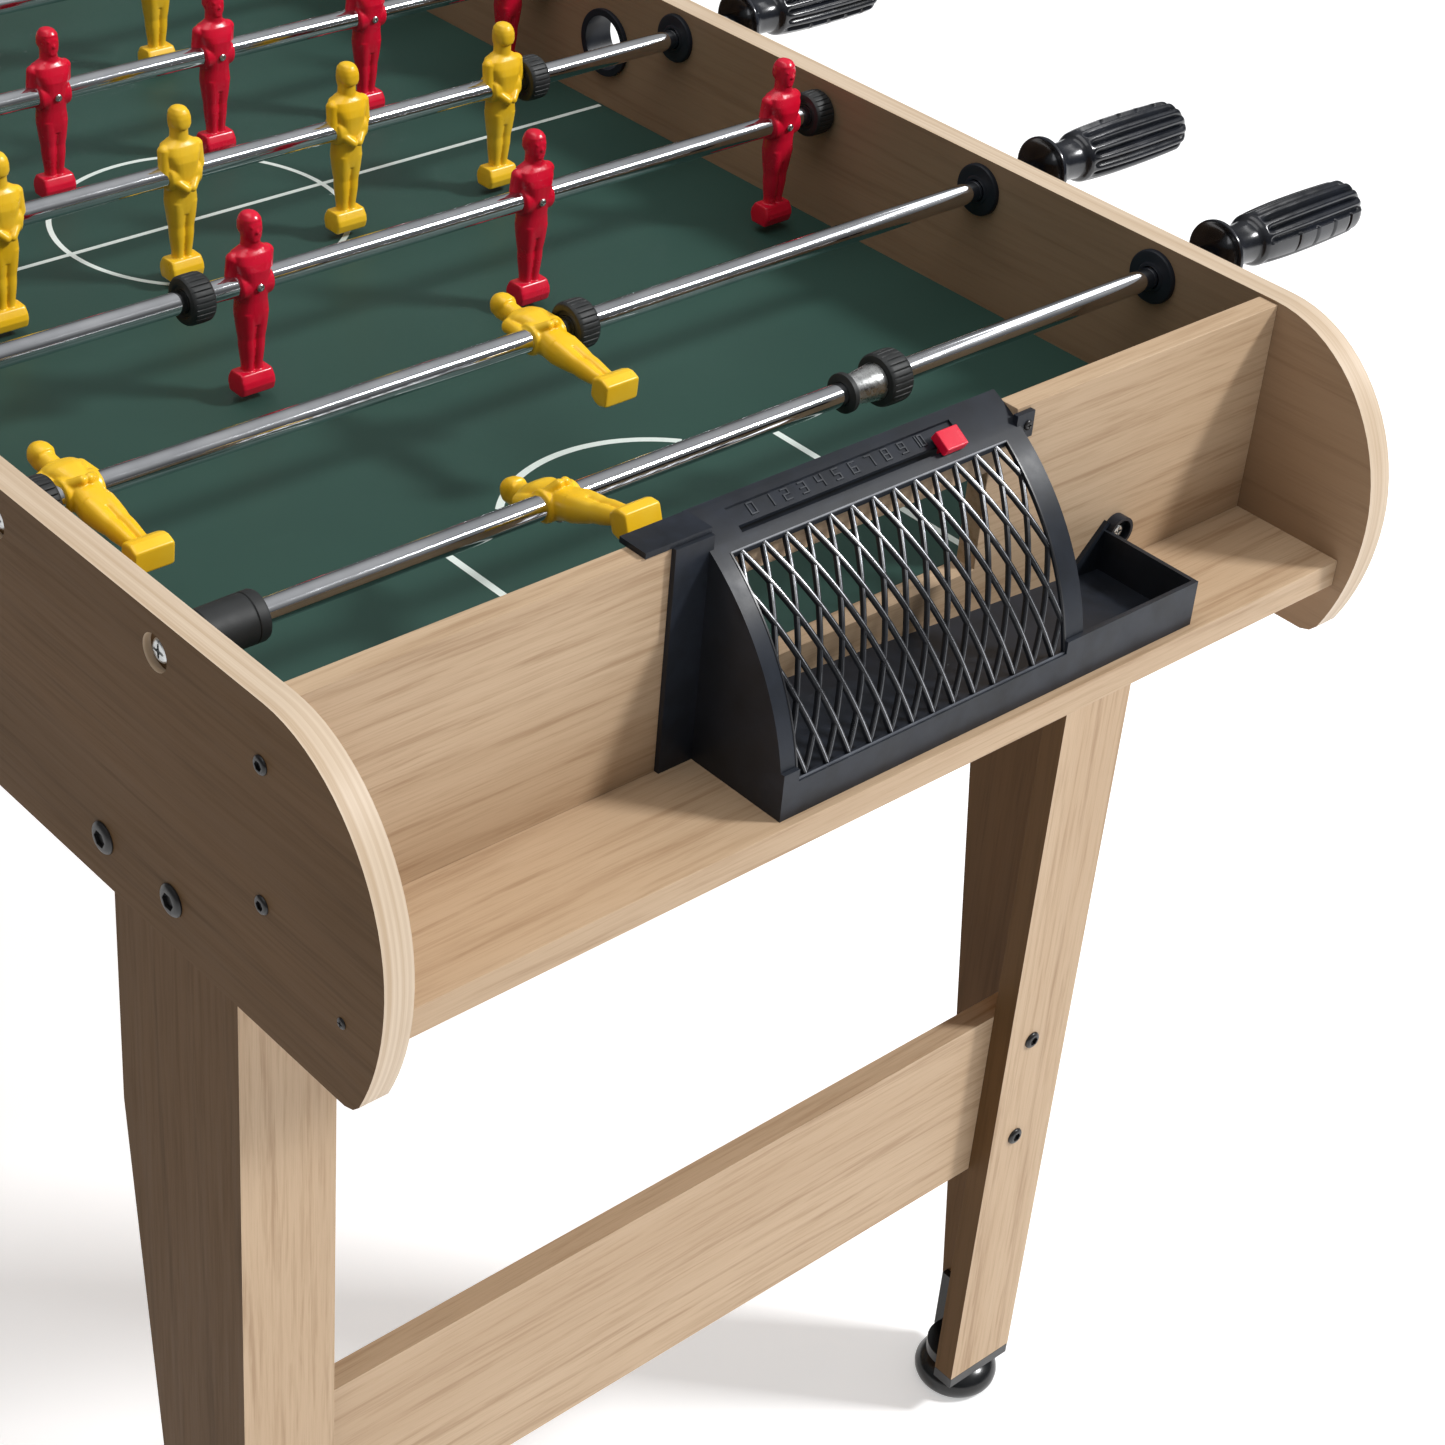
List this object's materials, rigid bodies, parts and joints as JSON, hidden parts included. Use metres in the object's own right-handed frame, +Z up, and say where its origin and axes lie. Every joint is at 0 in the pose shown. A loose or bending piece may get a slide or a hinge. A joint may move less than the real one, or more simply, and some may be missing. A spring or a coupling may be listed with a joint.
{
  "type": "foosball table",
  "caption": "Table football game: wooden cabinet on four tapered legs, telescopic player rods with handles, arched goal boxes with score rails.",
  "frame": {"origin": "on the floor under the centre of the playfield", "axes": "+X along the table towards the end with the yellow goalkeeper, +Y across it towards the yellow team's handles, +Z up"},
  "size_m": [1.22, 0.94, 0.849],
  "materials": {
    "side_laminate": "dark wood-grain laminate faces with light edge banding",
    "oak_laminate": "light oak wood-grain laminate, satin",
    "field_print": "dark green printed playing surface with white lines",
    "black_plastic": "moulded black plastic, fine texture",
    "chrome": "polished steel tube",
    "yellow_plastic": "moulded yellow plastic, satin",
    "red_plastic": "moulded red plastic, glossy",
    "black_rubber": "black rubber",
    "handle_plastic": "black moulded handle",
    "black_steel": "black coated screws and bolts",
    "foot_plastic": "glossy black plastic"
  },
  "bodies": {
    "cabinet": {"near_side_panel": "side_laminate", "far_side_panel": "side_laminate", "right_end_board": "oak_laminate", "left_end_board": "oak_laminate", "right_end_shelf": "oak_laminate", "left_end_shelf": "oak_laminate", "playfield": "field_print", "playfield_battens": "oak_laminate", "right_goal_box": "black_plastic", "left_goal_box": "black_plastic", "right_ball_tray": "black_plastic", "left_ball_tray": "black_plastic", "right_goal_grille": "black_plastic", "left_goal_grille": "black_plastic", "bushings": "black_plastic", "inner_rods": "chrome", "fasteners": "black_steel", "serve_cups": "black_plastic", "leg_right_far": "oak_laminate", "leg_right_near": "oak_laminate", "leg_left_far": "oak_laminate", "leg_left_near": "oak_laminate", "cross_rails": "oak_laminate", "foot_caps": "black_plastic"},
    "slide_a": {"bumpers_a": "black_rubber"},
    "spin_a": {"rod_a": "chrome", "men_a": "yellow_plastic", "grip_a": "handle_plastic"},
    "slide_b": {"bumpers_b": "black_rubber"},
    "spin_b": {"rod_b": "chrome", "men_b": "yellow_plastic", "grip_b": "handle_plastic"},
    "slide_c": {"bumpers_c": "black_rubber"},
    "spin_c": {"rod_c": "chrome", "men_c": "red_plastic", "grip_c": "handle_plastic"},
    "slide_d": {"bumpers_d": "black_rubber"},
    "spin_d": {"rod_d": "chrome", "men_d": "yellow_plastic", "grip_d": "handle_plastic"},
    "slide_e": {"bumpers_e": "black_rubber"},
    "spin_e": {"rod_e": "chrome", "men_e": "red_plastic", "grip_e": "handle_plastic"},
    "slide_f": {"bumpers_f": "black_rubber"},
    "spin_f": {"rod_f": "chrome", "men_f": "yellow_plastic", "grip_f": "handle_plastic"},
    "slide_g": {"bumpers_g": "black_rubber"},
    "spin_g": {"rod_g": "chrome", "men_g": "red_plastic", "grip_g": "handle_plastic"},
    "slide_h": {"bumpers_h": "black_rubber"},
    "spin_h": {"rod_h": "chrome", "men_h": "red_plastic", "grip_h": "handle_plastic"},
    "right_score": {"right_score_slider": "red_plastic"},
    "left_score": {"left_score_slider": "red_plastic"},
    "foot_right_far": {"foot_right_far": "foot_plastic"},
    "foot_right_near": {"foot_right_near": "foot_plastic"},
    "foot_left_far": {"foot_left_far": "foot_plastic"},
    "foot_left_near": {"foot_left_near": "foot_plastic"}
  },
  "joints": [
    {"name": "rod_a_slide", "type": "slide", "parent": "cabinet", "child": "slide_a", "axis": [0, 1, 0], "range_m": [0, 0.1889]},
    {"name": "rod_a_turn", "type": "hinge", "parent": "slide_a", "child": "spin_a", "pos_m": [0.44975, 0, 0.809], "axis": [0, 1, 0], "continuous": true},
    {"name": "rod_b_slide", "type": "slide", "parent": "cabinet", "child": "slide_b", "axis": [0, 1, 0], "range_m": [0, 0.2814]},
    {"name": "rod_b_turn", "type": "hinge", "parent": "slide_b", "child": "spin_b", "pos_m": [0.32125, 0, 0.809], "axis": [0, 1, 0], "continuous": true},
    {"name": "rod_c_slide", "type": "slide", "parent": "cabinet", "child": "slide_c", "axis": [0, -1, 0], "range_m": [0, 0.1624]},
    {"name": "rod_c_turn", "type": "hinge", "parent": "slide_c", "child": "spin_c", "pos_m": [0.19275, 0, 0.809], "axis": [0, -1, 0], "continuous": true},
    {"name": "rod_d_slide", "type": "slide", "parent": "cabinet", "child": "slide_d", "axis": [0, 1, 0], "range_m": [0, 0.1047]},
    {"name": "rod_d_turn", "type": "hinge", "parent": "slide_d", "child": "spin_d", "pos_m": [0.06425, 0, 0.809], "axis": [0, 1, 0], "continuous": true},
    {"name": "rod_e_slide", "type": "slide", "parent": "cabinet", "child": "slide_e", "axis": [0, -1, 0], "range_m": [0, 0.1047]},
    {"name": "rod_e_turn", "type": "hinge", "parent": "slide_e", "child": "spin_e", "pos_m": [-0.06425, 0, 0.809], "axis": [0, -1, 0], "continuous": true},
    {"name": "rod_f_slide", "type": "slide", "parent": "cabinet", "child": "slide_f", "axis": [0, 1, 0], "range_m": [0, 0.1624]},
    {"name": "rod_f_turn", "type": "hinge", "parent": "slide_f", "child": "spin_f", "pos_m": [-0.19275, 0, 0.809], "axis": [0, 1, 0], "continuous": true},
    {"name": "rod_g_slide", "type": "slide", "parent": "cabinet", "child": "slide_g", "axis": [0, -1, 0], "range_m": [0, 0.2814]},
    {"name": "rod_g_turn", "type": "hinge", "parent": "slide_g", "child": "spin_g", "pos_m": [-0.32125, 0, 0.809], "axis": [0, -1, 0], "continuous": true},
    {"name": "rod_h_slide", "type": "slide", "parent": "cabinet", "child": "slide_h", "axis": [0, -1, 0], "range_m": [0, 0.1889]},
    {"name": "rod_h_turn", "type": "hinge", "parent": "slide_h", "child": "spin_h", "pos_m": [-0.44975, 0, 0.809], "axis": [0, -1, 0], "continuous": true},
    {"name": "right_score_slide", "type": "slide", "parent": "cabinet", "child": "right_score", "axis": [0, -1, 0], "range_m": [0, 0.122]},
    {"name": "left_score_slide", "type": "slide", "parent": "cabinet", "child": "left_score", "axis": [0, 1, 0], "range_m": [0, 0.122]},
    {"name": "foot_right_far_level", "type": "slide", "parent": "cabinet", "child": "foot_right_far", "axis": [0, 0, -1], "range_m": [0, 0.012]},
    {"name": "foot_right_near_level", "type": "slide", "parent": "cabinet", "child": "foot_right_near", "axis": [0, 0, -1], "range_m": [0, 0.012]},
    {"name": "foot_left_far_level", "type": "slide", "parent": "cabinet", "child": "foot_left_far", "axis": [0, 0, -1], "range_m": [0, 0.012]},
    {"name": "foot_left_near_level", "type": "slide", "parent": "cabinet", "child": "foot_left_near", "axis": [0, 0, -1], "range_m": [0, 0.012]}
  ]
}
